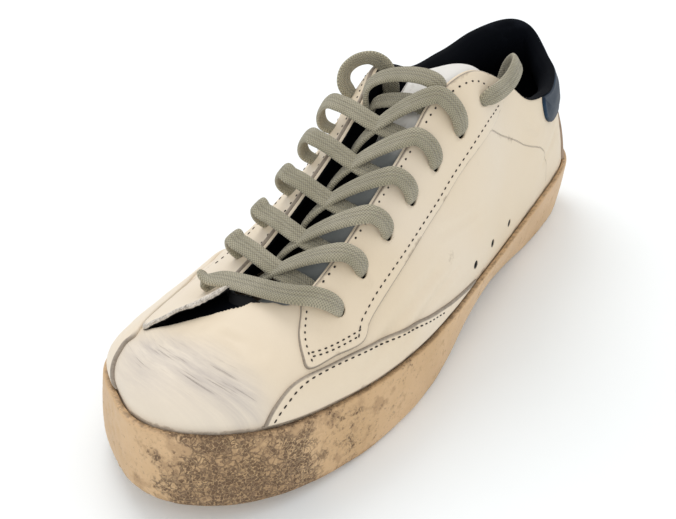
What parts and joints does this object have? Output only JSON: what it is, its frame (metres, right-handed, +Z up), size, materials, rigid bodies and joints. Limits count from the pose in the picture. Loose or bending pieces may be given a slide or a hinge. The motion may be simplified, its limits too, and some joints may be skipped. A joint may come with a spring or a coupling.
{
  "type": "worn low-top sneaker",
  "caption": "Low lace-up leather sneaker for the right foot on a thick cup sole, well worn, with a torn toe edge and open collar.",
  "frame": {"origin": "on the floor, under the centre of the shoe's bounding box", "axes": "+X from heel to toe, +Y to the shoe's left, which is the inner (medial) side of this right shoe, +Z up"},
  "size_m": [0.3021, 0.1008, 0.1099],
  "materials": {
    "sole_rubber": "tan moulded rubber, rubbed matt, with dark cracked dirt at the toe",
    "upper_leather": "creamy white smooth leather, creased, scuffed grey over the toes",
    "insole_fabric": "brown worn cloth",
    "tongue_leather": "off-white leather, brown cloth lining",
    "overlay_leather": "creamy white smooth leather with raw dirty edges and dark stitching",
    "counter_suede": "taupe rubbed leather",
    "tab_leather": "near black navy soft leather with a slight sheen",
    "lace_fabric": "olive grey flat woven lace"
  },
  "bodies": {
    "root": {"sole": "sole_rubber", "upper": "upper_leather", "insole": "insole_fabric", "tongue": "tongue_leather", "eyestay_medial": "overlay_leather", "eyestay_lateral": "overlay_leather", "foxing_medial": "overlay_leather", "foxing_lateral": "overlay_leather", "heel_counter": "counter_suede", "heel_tab": "tab_leather", "lace_bar_1": "lace_fabric", "lace_cross_2": "lace_fabric", "lace_cross_3": "lace_fabric", "lace_cross_4": "lace_fabric", "lace_cross_5": "lace_fabric", "lace_cross_6": "lace_fabric", "lace_cross_7": "lace_fabric", "lace_end_medial": "lace_fabric", "lace_end_lateral": "lace_fabric"}
  },
  "joints": []
}
